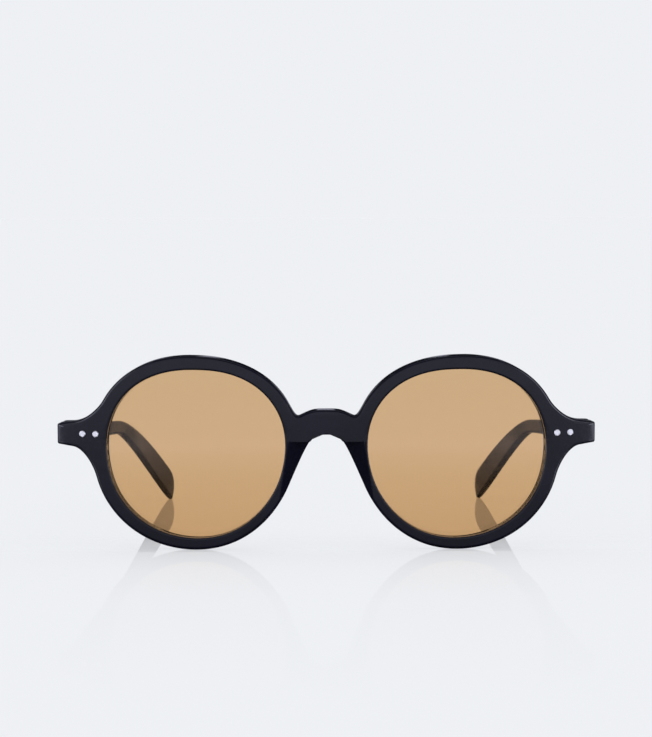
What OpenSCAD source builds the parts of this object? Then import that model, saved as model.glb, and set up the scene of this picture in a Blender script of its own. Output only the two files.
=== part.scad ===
// Round acetate sunglasses with tinted lenses, riveted hinges and cored temples.
// They stand on the two rims and the two temple tips, as on a shelf.
// The front faces -Y, the temples run back along +Y, and the wearer's right is at -X.

/* [Front] */
// Thickness of the acetate front
front_t = 4; // [3.7:0.1:4.6]
// Radius that the front is bent to, about an upright axis
face_form_r = 330; // [280:10:600]
// Lean of the front while the glasses stand, top forward
lean = 4.5; // [2:0.5:7]
// Rounding along the outer edges of the front
edge_r = 0.5; // [0.3:0.05:0.7]
// Rounding along the edges of the two apertures
aperture_edge_r = 0.25; // [0.15:0.05:0.4]

/* [Apertures and rims] */
// Width of an aperture
lens_w = 47.45; // [44:0.05:49]
// Height of an aperture
lens_h = 45.2; // [41:0.1:47]
// Distance between the two lens centres
lens_spacing = 69.4; // [68:0.1:72]
// Fullness of the aperture at its upper temple shoulder
temple_shoulder = 1.3; // [0.6:0.1:1.8]
// Fullness of the aperture at its upper nose shoulder
nose_shoulder = 1.25; // [0.4:0.05:1.5]
// Fullness of the aperture at its lower temple side
temple_fullness = 0.25; // [0:0.05:0.6]
// Flatness of the aperture at its lower nose side
nose_flatness = 0.6; // [0.2:0.05:0.9]
// Mean width of the rim, seen from the front
rim_w = 3.4; // [3.2:0.1:4.2]
// How much wider the rim is towards the temple, and narrower towards the nose
rim_swing = 0.6; // [0.3:0.1:0.9]
// Extra width of the rim at the upper nose shoulder
rim_nose_extra = 0.6; // [0.3:0.05:1]

/* [Bridge and lugs] */
// Height of the top of the bridge above the lens centres
bridge_top = 11.75; // [10.5:0.05:12.5]
// Height of the bridge at its middle
bridge_h = 6.3; // [5:0.1:7.5]
// Distance from the side of an aperture to the end of the lug
lug_reach = 13.6; // [13:0.05:17]
// Height of a lug at its end
lug_h = 5.6; // [5.4:0.1:6.4]
// Height of the middle of the lug above the lens centres
lug_z = 4.85; // [4.4:0.05:5.8]
// Length of the straight part of a lug
lug_run = 4.2; // [3:0.1:5]
// Rounding of the lug's corners, seen from the front
lug_corner_r = 0.6; // [0.3:0.1:1]
// Distance from the middle to the inner edge of the nose bevel, at its top
bevel_x = 9.95; // [9.2:0.05:10.4]
// Height of the top of the nose bevel above the lens centres
bevel_z = 2.6; // [1:0.1:3.4]
// Slope of the nose bevel against the front face
bevel_slope = 24; // [12:1:32]

/* [Lenses] */
// Thickness of a lens
lens_t = 1.8; // [1.4:0.1:2]
// Radius of the curve of a lens
lens_curve_r = 176; // [140:4:260]
// Depth of the middle of the lens bevel behind the front face, at the lens centre
lens_seat = 1.05; // [0.95:0.05:1.3]
// Depth of the edge of a lens in its groove
lens_bite = 0.6; // [0.4:0.05:0.8]
// Gap all round a lens in its groove
lens_gap = 0.05; // [0.03:0.01:0.1]

/* [Nose pads] */
// How far a nose pad stands out behind the front
pad_out = 2.6; // [1.8:0.1:3.4]
// Length of a nose pad
pad_len = 13; // [10:0.5:14]
// Width of a nose pad at its middle
pad_w = 2.4; // [2:0.1:2.8]

/* [Hinges] */
// Height of the hinge and its rivets above the lens centres
hinge_z = 5; // [4.8:0.05:5.3]
// Distance between the two rivets in the front
rivet_pitch = 3.6; // [3.1:0.1:3.7]
// Diameter of a rivet head
rivet_head_d = 1.8; // [1.4:0.1:2]
// Thickness of a rivet head
rivet_head_t = 0.5; // [0.4:0.05:0.7]
// How far a rivet head stands proud of the acetate
rivet_proud = 0.08; // [0.04:0.02:0.14]
// Diameter of a rivet shank
rivet_d = 1.2; // [0.9:0.1:1.2]
// Gap round a rivet and round a hinge plate
seat_play = 0.03; // [0.02:0.01:0.05]
// Thickness of a hinge plate, let in flush
plate_t = 0.9; // [0.7:0.05:1.1]
// Outer diameter of the knuckles
knuckle_d = 2.6; // [2.3:0.1:2.8]
// Height of one knuckle
knuckle_h = 1; // [0.9:0.05:1.1]
// Gap between one knuckle and the next
knuckle_gap = 0.05; // [0.04:0.01:0.08]
// Gap between the knuckles and the notch in the acetate
notch_gap = 0.2; // [0.15:0.05:0.3]
// Diameter of the hinge screw
screw_d = 1.2; // [1:0.05:1.3]
// Diameter of the head of the hinge screw
screw_head_d = 1.9; // [1.7:0.05:2]
// Height of the head of the hinge screw
screw_head_h = 0.45; // [0.35:0.05:0.55]
// Running gap all round the screw in the knuckles
screw_play = 0.05; // [0.03:0.01:0.1]
// Distance of the hinge axis behind the front
pin_out = 0.9; // [0.8:0.05:1.1]
// Distance of the hinge axis inside the temple
pin_in = 0.6; // [0.5:0.05:0.8]

/* [Temples] */
// Length of a temple from the hinge axis to the tip, along its middle
temple_len = 149; // [144:1:154]
// Length of the straight part, up to the ear bend
temple_run = 96; // [88:0.5:100]
// Radius of the ear bend
ear_bend_r = 55; // [46:1:62]
// Angle of the ear bend
ear_bend = 44; // [36:1:54]
// Tilt of the ear bend from straight down towards the head
ear_tilt = 29.5; // [20:0.5:34]
// Angle at which the temples close in towards the back
temple_toe_in = 4.2; // [2.5:0.1:5]
// Thickness of a temple at the hinge
temple_t = 3.8; // [3.4:0.1:4.2]
// Thickness of a temple at its tip
tip_t = 2.2; // [2:0.1:3]
// Height of a temple at the hinge
temple_h = 5.7; // [5.4:0.1:6.2]
// Height of a temple where the ear bend starts
neck_h = 3.9; // [3.4:0.1:4.6]
// Greatest height of the tip
tip_h = 7.9; // [7:0.1:9.4]
// Length of the rounded end of the tip
tip_round = 5.5; // [3:0.5:12]
// Share of the tip's rounding that comes off its upper edge
tip_drop = 0.9; // [0:0.1:1]
// Gap between the end of a temple and the lug
butt_gap = 0.1; // [0.06:0.02:0.2]
// How far the outer face of a temple is set in from the end of the lug
temple_set_in = 0.1; // [0:0.05:0.3]
// Distance between the two rivets in a temple
temple_rivet_pitch = 4; // [3.4:0.1:4.6]
// Diameter of the core wire
core_d = 1.3; // [1:0.1:1.5]
// Distance of the front end of the core wire behind the hinge axis
core_start = 13; // [12:0.5:18]

/* [Hidden] */
$fn = 40;
right = -1;
left = 1;
acetate = [0.09, 0.09, 0.12];
amber = [0.78, 0.56, 0.36, 0.75];
nickel_silver = [0.8, 0.8, 0.78];
// Room for a cut to start outside what it cuts
over = 1;

// Shapes of curves
function smooth(t) = let (u = min(max(t, 0), 1)) u * u * (3 - 2 * u);
function mix(a, b, t) = a + (b - a) * t;
function swell(a, middle, reach) =
    let (d = abs(((a - middle + 540) % 360) - 180) / reach) d < 1 ? (1 + cos(180 * d)) / 2 : 0;
function oval_r(a, rx, rz) = 1 / sqrt(pow(cos(a) / rx, 2) + pow(sin(a) / rz, 2));
function polar(a, r) = [lens_spacing / 2 + r * cos(a), r * sin(a)];
// A corner from a to b, drawn towards the point c
function corner(a, c, b, pull, n) =
    [for (i = [0:n]) let (t = i / n, u = 1 - t, ca = mix(a, c, pull), cb = mix(b, c, pull))
        u * u * u * a + 3 * u * u * t * ca + 3 * u * t * t * cb + t * t * t * b];
function turn(v, axis, a) = v * cos(a) + cross(axis, v) * sin(a) + axis * (axis * v) * (1 - cos(a));

// The left half of the front is worked out as seen from the front, [across, up] from the
// lens centre line, with angles about the lens centre: 0 at the temple and 180 at the nose.
temple_shoulder_at = 40;
temple_shoulder_reach = 55;
nose_shoulder_at = 139.5;
nose_shoulder_reach = 53;
temple_fullness_at = 320;
temple_fullness_reach = 51;
nose_flatness_at = 206.5;
nose_flatness_reach = 52.5;
rim_widest_at = 24;
rim_extra_at = 161;
rim_extra_reach = 54;
function aperture_r(a) = oval_r(a, lens_w / 2, lens_h / 2)
    + temple_shoulder * swell(a, temple_shoulder_at, temple_shoulder_reach)
    + nose_shoulder * swell(a, nose_shoulder_at, nose_shoulder_reach)
    + temple_fullness * swell(a, temple_fullness_at, temple_fullness_reach)
    - nose_flatness * swell(a, nose_flatness_at, nose_flatness_reach);
function rim_r(a) = aperture_r(a) + rim_w + rim_swing * cos(a - rim_widest_at)
    + rim_nose_extra * swell(a, rim_extra_at, rim_extra_reach);
function rim_point(a) = polar(a, rim_r(a));
function rim_heading(a) = let (d = rim_point(a + 1) - rim_point(a - 1)) d / norm(d);

lug_flare = 0.13;
lug_end = lens_spacing / 2 + lens_w / 2 + lug_reach;
lug_root = lug_end - lug_run;
function lug_top(x) = lug_z + lug_h / 2 + lug_flare * (lug_end - x);
function lug_bottom(x) = lug_z - lug_h / 2 - lug_flare * (lug_end - x);
lug_top_angle = 30;
lug_bottom_angle = 346;
lug_top_pull = 0.56;
lug_bottom_pull = 0.56;
// Where the rim, followed straight on from the angle a, meets the line of a lug edge
function lug_meet(a, z) = let (p = rim_point(a), d = rim_heading(a)) p + d * (z - p.y) / d.y;
lug_top_points = corner([lug_root, lug_top(lug_root)],
    lug_meet(lug_top_angle, lug_top(lug_root - lug_run)), rim_point(lug_top_angle), lug_top_pull, 7);
lug_bottom_points = corner(rim_point(lug_bottom_angle),
    lug_meet(lug_bottom_angle, lug_bottom(lug_root - lug_run)),
    [lug_root, lug_bottom(lug_root)], lug_bottom_pull, 7);
function lug_end_corner(up) = let (r = lug_corner_r,
    z = up > 0 ? lug_top(lug_end) : lug_bottom(lug_end))
    [for (i = [0:3]) let (a = up > 0 ? 30 * i : 30 * i - 90)
        [lug_end - r + r * cos(a), z - up * r + r * sin(a)]];
lug_end_points = concat(lug_end_corner(-1), lug_end_corner(1));

bridge_bottom = bridge_top - bridge_h;
notch_angle = 157;
arch_angle = 199;
notch_len = 2;
bridge_crown = 0.05;
bridge_shoulder_share = 0.7;
bridge_start_share = 0.36;
bridge_pull = 0.67;
arch_pull = 0.95;
notch_rim = rim_point(notch_angle);
notch_point = notch_rim + notch_len * rim_heading(notch_angle);
bridge_shoulder = [notch_point.x * bridge_shoulder_share, bridge_top + bridge_crown];
bridge_start = mix(notch_point, bridge_shoulder, bridge_start_share);
notch_points = corner(notch_rim, notch_point, bridge_start, bridge_pull, 5);
bridge_points = corner(bridge_start, bridge_shoulder, [0, bridge_top], bridge_pull, 7);
arch_end = rim_point(arch_angle);
arch_heading = rim_heading(arch_angle);
arch_meet = arch_end + arch_heading * (bridge_bottom - arch_end.y) / arch_heading.y;
arch_points = corner([0, bridge_bottom], arch_meet, arch_end, arch_pull, 10);

// Aperture angles that the ends of the lug, the notch and the bridge are joined to
lug_end_low = 4;
lug_end_high = 11;
lug_top_first = 12;
lug_bottom_last = 363;
notch_foot_angle = 161;
bridge_top_angle = 167;
bridge_bottom_angle = 177;
// A station is [outline point, aperture angle, 1 where the two halves meet]
function spread(points, a0, a1, from, to) =
    [for (i = [from:to]) [points[i], mix(a0, a1, i / (len(points) - 1)), 0]];
function along_rim(a0, a1, n) =
    [for (i = [1:n - 1]) let (a = mix(a0, a1, i / n)) [rim_point(a), a, 0]];
joined = [for (i = [0:3]) [[0, mix(bridge_top, bridge_bottom, i / 3)],
    mix(bridge_top_angle, bridge_bottom_angle, i / 3), 1]];
stations = concat(
    spread(lug_end_points, lug_end_low, lug_end_high, 0, 7),
    spread(lug_top_points, lug_top_first, lug_top_angle, 0, 7),
    along_rim(lug_top_angle, notch_angle, 26),
    spread(notch_points, notch_angle, notch_foot_angle, 0, 5),
    spread(bridge_points, notch_foot_angle, bridge_top_angle, 1, 6),
    joined,
    spread(arch_points, bridge_bottom_angle, arch_angle, 1, 10),
    along_rim(arch_angle, lug_bottom_angle, 30),
    spread(lug_bottom_points, lug_bottom_angle, lug_bottom_last, 0, 7));
count = len(stations);
function outward(i) = stations[i][2] == 1
    ? (stations[(i + count - 1) % count][2] == 0 ? [0, 1] : stations[i + 1][2] == 0 ? [0, -1] : [0, 0])
    : let (d = stations[(i + 1) % count][0] - stations[(i + count - 1) % count][0])
        [d.y, -d.x] / norm(d);

// The bent front: across and up as above, with the depth behind the front face
function face_y(x) = face_form_r - sqrt(face_form_r * face_form_r - x * x);
function face_angle(x) = asin(x / face_form_r);
function on_face(p, depth) = let (a = face_angle(p.x))
    [p.x - depth * sin(a), face_y(p.x) + depth * cos(a), p.y];

// The lens and its groove follow the curve of the lens, read against the bent front
function lens_depth(a, r) =
    lens_seat + r * r / 2 * (1 / lens_curve_r - pow(cos(a), 2) / face_form_r);
groove_bottom = 0.15;
groove_deep = lens_bite + lens_gap;

// How far in from its edge a rounding's middle point lies, as a share of its radius
round_share = 0.3;
// One section through the rim: [in-plane point, depth], round the section from the aperture
function section(i) = let (s = stations[i], p = s[0], n = outward(i), a = s[1], r = aperture_r(a),
    e = aperture_edge_r, f = edge_r, es = round_share * e, fs = round_share * f,
    mid = lens_depth(a, r), m = lens_t / 2 + lens_gap,
    b = groove_bottom + lens_gap)
    [[polar(a, r + e), 0], [polar(a, r + es), es], [polar(a, r), e],
    [polar(a, r), mid - m], [polar(a, r + groove_deep), mid - b],
    [polar(a, r + groove_deep), mid + b], [polar(a, r), mid + m],
    [polar(a, r), front_t - e], [polar(a, r + es), front_t - es],
    [polar(a, r + e), front_t],
    [p - f * n, front_t], [p - fs * n, front_t - fs], [p, front_t - f],
    [p, f], [p - fs * n, fs], [p - f * n, 0]];
ring = 16;
outer_from = 10;
half_points = [for (i = [0:count - 1]) for (q = section(i)) on_face(q[0], q[1])];
front_points = concat(half_points, [for (p = half_points) [-p.x, p.y, p.z]]);
function quad(a, b, c, d) = [[c, b, a], [d, c, a]];
half_faces = [for (i = [0:count - 1]) for (j = [0:ring - 1])
    let (k = (i + 1) % count, l = (j + 1) % ring)
    if (!(stations[i][2] == 1 && stations[k][2] == 1 && j >= outer_from && j < ring - 1))
        for (f = quad(i * ring + j, k * ring + j, k * ring + l, i * ring + l)) f];
function mirrored(v) = abs(half_points[v].x) < 1e-6 ? v : v + len(half_points);
front_faces = concat(half_faces, [for (f = half_faces) [mirrored(f[2]), mirrored(f[1]), mirrored(f[0])]]);

// Where the hinge axis stands, from the end of the lug at the back of the front
lug_back_x = lug_end * (1 - front_t / face_form_r);
pin_x = lug_back_x - temple_set_in - temple_t - pin_in;
pin_face_x = pin_x / (1 - (front_t + pin_out) / face_form_r);
pin = on_face([pin_face_x, hinge_z], front_t + pin_out);
lug_angle = face_angle(pin_face_x + temple_t / 2);

// Temples are worked out from the hinge axis: X outwards, Y back along the temple, Z up
temple_x = pin_in + temple_t / 2;
bend_axis = [-cos(ear_tilt), 0, sin(ear_tilt)];
bend_len = ear_bend_r * ear_bend * PI / 180;
function bend_at(s) = min(max((s - temple_run) / bend_len, 0), 1) * ear_bend;
function temple_at(s) = let (a = bend_at(s), back = [0, 1, 0], side = cross(bend_axis, back))
    [temple_x, min(s, temple_run), 0] + ear_bend_r * (sin(a) * back + (1 - cos(a)) * side)
    + max(s - temple_run - bend_len, 0) * turn(back, bend_axis, a);
tip_start = temple_len - tip_round;
function temple_height(s) = s < temple_run ? mix(temple_h, neck_h, smooth(s / temple_run))
    : mix(neck_h, tip_h, smooth((s - temple_run) / (tip_start - temple_run)));
thin_from = temple_run / 2;
function temple_thickness(s) = mix(temple_t, tip_t, smooth((s - thin_from) / (tip_start - thin_from)));
tip_stations = [for (a = [20:20:80]) [tip_start + tip_round * sin(a), cos(a)]];
temple_stations = concat(
    [[0, 1], [core_start, 1]],
    [for (i = [1:6]) [mix(core_start, temple_run, i / 6), 1]],
    [for (i = [1:11]) [mix(temple_run, tip_start, i / 11), 1]],
    tip_stations);
round_steps = 3;
function rounded(w, h, r) = [for (q = [[1, 1], [-1, 1], [-1, -1], [1, -1]]) for (i = [0:round_steps])
    let (a = (q.x > 0 ? (q.y > 0 ? 0 : 270) : (q.y > 0 ? 90 : 180)) + 90 * i / round_steps)
    [q.x * (w / 2 - r) + r * cos(a), q.y * (h / 2 - r) + r * sin(a)]];
temple_ring = 4 * (round_steps + 1);
temple_rounding = 0.36;
// Thickness left at the very end of the tip, as a share
tip_thin = 0.5;
function temple_section(st) = let (s = st[0], a = bend_at(s),
    w = temple_thickness(s) * mix(tip_thin, 1, st[1]),
    h = temple_height(s) * st[1], r = temple_rounding * min(w, h),
    drop = temple_height(s) * (1 - st[1]) / 2 * tip_drop,
    across = turn([1, 0, 0], bend_axis, a), up = turn([0, 0, 1], bend_axis, a))
    [for (q = rounded(w, h, r)) temple_at(s) + across * q.x + up * (q.y - drop)];

// From the temple's own axes to those of the front, with its slope about the hinge
function slope_temple(p, slope) = turn(turn(p, [1, 0, 0], -slope), [0, 0, 1], temple_toe_in) + pin;
function lean_back(p) = turn(p, [1, 0, 0], lean);
front_foot = min([for (p = half_points) lean_back(p).z]);
temple_points = [for (st = temple_stations) for (p = temple_section(st)) p];
function foot(slope) = min([for (p = temple_points) lean_back(slope_temple(p, slope)).z]);
// The slope that brings the tips down to the level of the rims
function level(slope, n) = n == 0 ? slope
    : level(slope + asin((foot(slope) - front_foot) / temple_len), n - 1);
first_slope = lean + 3;
level_rounds = 6;
temple_slope = level(first_slope, level_rounds);
placed_temple = [for (p = temple_points) lean_back(slope_temple(p, temple_slope))];
deepest = max([for (p = placed_temple) p.y]);
foremost = min([for (p = half_points) lean_back(p).y]);
stand_at = [0, -(deepest + foremost) / 2, -front_foot];

// Places shared by several pieces
module stand() translate(stand_at) rotate([lean, 0, 0]) children();
module side(s) mirror([s < 0 ? 1 : 0, 0, 0]) children();
// At the hinge axis, X outwards along the lug, Y back, Z up along the axis
module at_hinge() translate(pin) rotate([0, 0, lug_angle]) children();
// At the hinge axis, Y back along the temple without its slope
module at_temple() translate(pin) rotate([0, 0, temple_toe_in]) children();
module along_temple() at_temple() rotate([-temple_slope, 0, 0]) children();
module tube(r, z0, z1) translate([0, 0, z0]) cylinder(r = r, h = z1 - z0);
module box(low, high) translate(low) cube(high - low);

// Knuckles count up from the bottom: 0, 2 and 4 on the front, 1 and 3 on the temple
knuckle_pitch = knuckle_h + knuckle_gap;
hinge_half = 2 * knuckle_pitch + knuckle_h / 2;
function knuckle_low(i) = -hinge_half + i * knuckle_pitch;
knuckle_r = knuckle_d / 2;
notch_r = knuckle_r + notch_gap;
back_y = -pin_out;
plate_back_y = back_y - plate_t;
plate_clear = sqrt(notch_r * notch_r - pin_out * pin_out);
// Rivets in the front, placed by their heads as seen from the front
rivet_to_notch = 1.32;
outer_rivet_x = -(plate_clear + rivet_to_notch);
inner_rivet_x = outer_rivet_x - rivet_pitch;
plate_margin = 0.6;
plate_end_x = inner_rivet_x - rivet_d / 2 - plate_margin;
function hinge_axes(p) = turn(p - pin, [0, 0, 1], -lug_angle);
// How far in front of the hinge axis the front face is, at a rivet
function face_at(x) = let (near = turn([x, -front_t, 0], [0, 0, 1], lug_angle) + pin)
    hinge_axes(on_face([near.x, hinge_z], 0)).y;
function face_near(x) = min(face_at(x - rivet_head_d / 2), face_at(x), face_at(x + rivet_head_d / 2));

// Rivets and plate in the temple
temple_plate_start = sqrt(notch_r * notch_r - pin_in * pin_in);
rivet_to_plate_start = 2.3;
fore_rivet_y = temple_plate_start + rivet_to_plate_start;
rear_rivet_y = fore_rivet_y + temple_rivet_pitch;
temple_plate_margin = 0.9;
temple_plate_end = rear_rivet_y + rivet_d / 2 + temple_plate_margin;
temple_plate_h = 3.8;
function drop_at(y) = -y * tan(temple_slope);
temple_plate_z = drop_at((temple_plate_start + temple_plate_end) / 2) / 2;

// A rivet along +X from the head, whose outer face is at x = 0
head_bevel = 0.15;
head_bevel_h = 0.12;
module rivet(length, play = 0) rotate([0, 90, 0]) rotate_extrude()
    polygon([[0, -play], [rivet_head_d / 2 - head_bevel + play, -play],
        [rivet_head_d / 2 + play, head_bevel_h],
        [rivet_head_d / 2 + play, rivet_head_t + play], [rivet_d / 2 + play, rivet_head_t + play],
        [rivet_d / 2 + play, length + play], [0, length + play]]);
module front_rivet_form(x, play = 0) at_hinge() translate([x, face_near(x) - rivet_proud, 0])
    rotate([0, 0, 90]) rivet(back_y - face_near(x) + rivet_proud, play);
module temple_rivet_form(y, play = 0) at_temple()
    translate([pin_in + temple_t + rivet_proud, y, temple_plate_z]) rotate([0, 0, 180])
    rivet(temple_t + rivet_proud, play);

module front_plate_form(play = 0) box([plate_end_x - play, plate_back_y - play, -hinge_half - play],
    [play > 0 ? 0 : -plate_clear, back_y + play * over / seat_play, hinge_half + play]);
module temple_plate_form(play = 0) box([pin_in - play * over / seat_play,
    play > 0 ? 0 : temple_plate_start, temple_plate_z - temple_plate_h / 2 - play],
    [pin_in + plate_t + play, temple_plate_end + play, temple_plate_z + temple_plate_h / 2 + play]);

// A wedge that planes the front face off towards the nose
bevel_tilt = 10;
bevel_reach = 20;
module nose_bevel() translate(on_face([bevel_x, bevel_z], 0)) rotate([0, -bevel_tilt, 0])
    translate([0, 0, -bevel_reach]) linear_extrude(bevel_reach)
    polygon([[over, over * -tan(bevel_slope)], [over, -over],
        [-bevel_x, -over], [-bevel_x, bevel_x * tan(bevel_slope)]]);

module front_frame() color(acetate) stand() difference() {
    polyhedron(front_points, front_faces);
    for (s = [right, left]) side(s) {
        nose_bevel();
        front_rivet_form(outer_rivet_x, seat_play);
        front_rivet_form(inner_rivet_x, seat_play);
        at_hinge() front_plate_form(seat_play);
        at_hinge() tube(notch_r, -lug_h, lug_h);
    }
}

// Lens: rings of points from the middle of the front, over the edge, to the middle of the back
lens_shares = [0.35, 0.7];
lens_angles = [for (s = stations) s[1]];
function lens_point(a, r, off) = on_face(polar(a, r), lens_depth(a, r) + off);
function lens_rings() = let (h = lens_t / 2, b = groove_bottom)
    [for (row = concat([for (k = lens_shares) [k, 0, -h]],
        [[1, 0, -h], [1, lens_bite, -b], [1, lens_bite, b], [1, 0, h]],
        [for (k = [lens_shares[1], lens_shares[0]]) [k, 0, h]]))
        for (a = lens_angles) lens_point(a, aperture_r(a) * row[0] + row[1], row[2])];
lens_rows = 2 * len(lens_shares) + 4;
lens_front_middle = lens_rows * count;
lens_faces = concat(
    [for (i = [0:count - 1]) [lens_front_middle, (i + 1) % count, i]],
    [for (j = [0:lens_rows - 2]) for (i = [0:count - 1]) let (k = (i + 1) % count)
        for (f = quad(j * count + i, (j + 1) * count + i, (j + 1) * count + k, j * count + k)) f],
    [for (i = [0:count - 1]) let (j = (lens_rows - 1) * count)
        [lens_front_middle + 1, j + i, j + (i + 1) % count]]);
module lens(s) color(amber) stand() side(s) polyhedron(
    concat(lens_rings(), [lens_point(0, 0, -lens_t / 2), lens_point(0, 0, lens_t / 2)]), lens_faces);

// Nose pad: a kidney cemented to the back of the rim beside the nose
// Each ball is [share of the pad's length, share of its width]
pad_balls = [[0, 0.8], [0.25, 0.94], [0.5, 1], [0.75, 1], [1, 0.88]];
pad_top_angle = 182;
// Degrees about the lens centre for each millimetre of pad
pad_turn = 2.3;
// Where the pad sits across the rim, from the aperture at 0 to the outer edge at 1
pad_on_rim = 0.62;
module nose_pad(s) color(acetate) stand() side(s) intersection() {
    for (i = [1:len(pad_balls) - 1]) hull() for (k = [pad_balls[i - 1], pad_balls[i]])
        let (r = pad_w / 2 * k[1], a = pad_top_angle + pad_len * pad_turn * k[0])
            translate(on_face(polar(a, mix(aperture_r(a), rim_r(a), pad_on_rim)), front_t + pad_out - r))
            sphere(r = r, $fn = 16);
    translate([0, face_form_r, -lens_h]) cylinder(r = face_form_r - front_t, h = 2 * lens_h, $fn = 360);
}

knuckle_root = 1;
module screw_hole() {
    tube(screw_d / 2 + screw_play, -hinge_half - over, hinge_half + over);
    tube(screw_head_d / 2 + screw_play, hinge_half - screw_head_h, hinge_half + over);
}
module front_hinge(s) color(nickel_silver) stand() side(s) difference() {
    at_hinge() difference() {
        union() {
            front_plate_form();
            for (i = [0, 2, 4]) {
                tube(knuckle_r, knuckle_low(i), knuckle_low(i) + knuckle_h);
                box([-plate_clear - knuckle_root, plate_back_y, knuckle_low(i)],
                    [0, 0, knuckle_low(i) + knuckle_h]);
            }
        }
        screw_hole();
        for (x = [inner_rivet_x, outer_rivet_x]) translate([x, 0, 0]) rotate([90, 0, 0])
            cylinder(r = rivet_d / 2 + seat_play, h = front_t);
    }
}
module temple_hinge(s) color(nickel_silver) stand() side(s) at_temple() difference() {
    union() {
        temple_plate_form();
        for (i = [1, 3]) {
            tube(knuckle_r, knuckle_low(i), knuckle_low(i) + knuckle_h);
            box([0, 0, knuckle_low(i)],
                [pin_in + plate_t, temple_plate_start + knuckle_root, knuckle_low(i) + knuckle_h]);
        }
    }
    screw_hole();
    for (y = [fore_rivet_y, rear_rivet_y]) translate([0, y, temple_plate_z]) rotate([0, 90, 0])
        cylinder(r = rivet_d / 2 + seat_play, h = temple_t);
}
slot_half_w = 0.13;
slot_depth = 0.2;
module hinge_screw(s) color(nickel_silver) stand() side(s) translate(pin) difference() {
    union() {
        tube(screw_d / 2, -hinge_half, hinge_half - screw_head_h);
        tube(screw_head_d / 2, hinge_half - screw_head_h, hinge_half);
    }
    box([-screw_head_d, -slot_half_w, hinge_half - slot_depth],
        [screw_head_d, slot_half_w, hinge_half + over]);
}
module front_rivet(s, x) color(nickel_silver) stand() side(s) front_rivet_form(x);
module temple_rivet(s, y) color(nickel_silver) stand() side(s) temple_rivet_form(y);

// Temple: sections swept along its middle, cut to the slant of the lug and hollowed for the core
function cap(from, flip) = [for (i = [1:temple_ring - 2]) flip ? [from, from + i, from + i + 1]
    : [from, from + i + 1, from + i]];
temple_faces = concat(cap(0, false),
    [for (j = [0:len(temple_stations) - 2]) for (i = [0:temple_ring - 1])
        let (k = (i + 1) % temple_ring, a = j * temple_ring, b = a + temple_ring)
        for (f = quad(a + i, b + i, b + k, a + k)) f],
    cap((len(temple_stations) - 1) * temple_ring, true));
// The first section starts early, so that the slanted cut leaves the whole end face
early_start = 3;
function early(i, p) = i < temple_ring ? p - [0, early_start, 0] : p;
module core_form(play = 0) along_temple() {
    translate([temple_x, core_start - play, 0]) rotate([-90, 0, 0])
        cylinder(d = core_d + 2 * play, h = temple_run - core_start + 2 * play);
}
module temple(s) color(acetate) stand() side(s) difference() {
    along_temple() polyhedron(
        [for (i = [0:len(temple_points) - 1]) early(i, temple_points[i])], temple_faces);
    at_hinge() box([-lug_h, -pin_out - lug_h, -2 * lug_h], [2 * lug_h, butt_gap - pin_out, 2 * lug_h]);
    translate(pin) tube(notch_r, -lug_h, lug_h);
    at_temple() temple_plate_form(seat_play);
    temple_rivet_form(fore_rivet_y, seat_play);
    temple_rivet_form(rear_rivet_y, seat_play);
    core_form(seat_play);
}
module core_wire(s) color(nickel_silver) stand() side(s) core_form();

front_frame();
lens(right);  // right_lens
lens(left);  // left_lens
nose_pad(right);  // right_nose_pad
nose_pad(left);  // left_nose_pad
front_hinge(right);  // right_front_hinge
front_hinge(left);  // left_front_hinge
temple_hinge(right);  // right_temple_hinge
temple_hinge(left);  // left_temple_hinge
hinge_screw(right);  // right_hinge_screw
hinge_screw(left);  // left_hinge_screw
front_rivet(right, inner_rivet_x);  // right_inner_front_rivet
front_rivet(right, outer_rivet_x);  // right_outer_front_rivet
front_rivet(left, inner_rivet_x);  // left_inner_front_rivet
front_rivet(left, outer_rivet_x);  // left_outer_front_rivet
temple(right);  // right_temple
temple(left);  // left_temple
core_wire(right);  // right_core_wire
core_wire(left);  // left_core_wire
temple_rivet(right, fore_rivet_y);  // right_fore_temple_rivet
temple_rivet(right, rear_rivet_y);  // right_rear_temple_rivet
temple_rivet(left, fore_rivet_y);  // left_fore_temple_rivet
temple_rivet(left, rear_rivet_y);  // left_rear_temple_rivet
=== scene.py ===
import math
import bmesh
import bpy
from mathutils import Matrix, Vector


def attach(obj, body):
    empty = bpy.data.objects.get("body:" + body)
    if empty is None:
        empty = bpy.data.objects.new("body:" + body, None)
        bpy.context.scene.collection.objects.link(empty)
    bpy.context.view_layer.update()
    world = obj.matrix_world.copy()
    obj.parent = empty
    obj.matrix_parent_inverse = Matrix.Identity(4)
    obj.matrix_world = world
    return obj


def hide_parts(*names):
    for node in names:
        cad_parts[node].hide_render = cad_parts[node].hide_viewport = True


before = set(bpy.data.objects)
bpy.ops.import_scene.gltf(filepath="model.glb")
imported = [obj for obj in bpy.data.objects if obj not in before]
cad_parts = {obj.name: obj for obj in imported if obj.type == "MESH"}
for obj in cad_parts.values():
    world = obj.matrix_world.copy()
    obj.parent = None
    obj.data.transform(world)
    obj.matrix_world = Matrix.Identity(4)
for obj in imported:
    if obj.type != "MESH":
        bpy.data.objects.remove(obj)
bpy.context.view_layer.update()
print("scene: the packed frame is in place")

# Lengths are in millimetres until a piece is placed, and angles are in degrees
metre = 0.001
touching = 1e-4             # points closer than this, in millimetres, are one


def smoothStep(t):
    t = min(max(t, 0.0), 1.0)
    return t * t * (3 - 2 * t)


def mix(a, b, t):
    return a + (b - a) * t


def cosine(angle):
    return math.cos(math.radians(angle))


def sine(angle):
    return math.sin(math.radians(angle))


# Materials

def linearColour(hexText, alpha=1.0):
    # sRGB hex, such as "#0b0b12", to the linear values that Blender works in
    values = [int(hexText[i:i + 2], 16) / 255 for i in (1, 3, 5)]
    return [v / 12.92 if v <= 0.04045 else ((v + 0.055) / 1.055) ** 2.4 for v in values] + [alpha]


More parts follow.
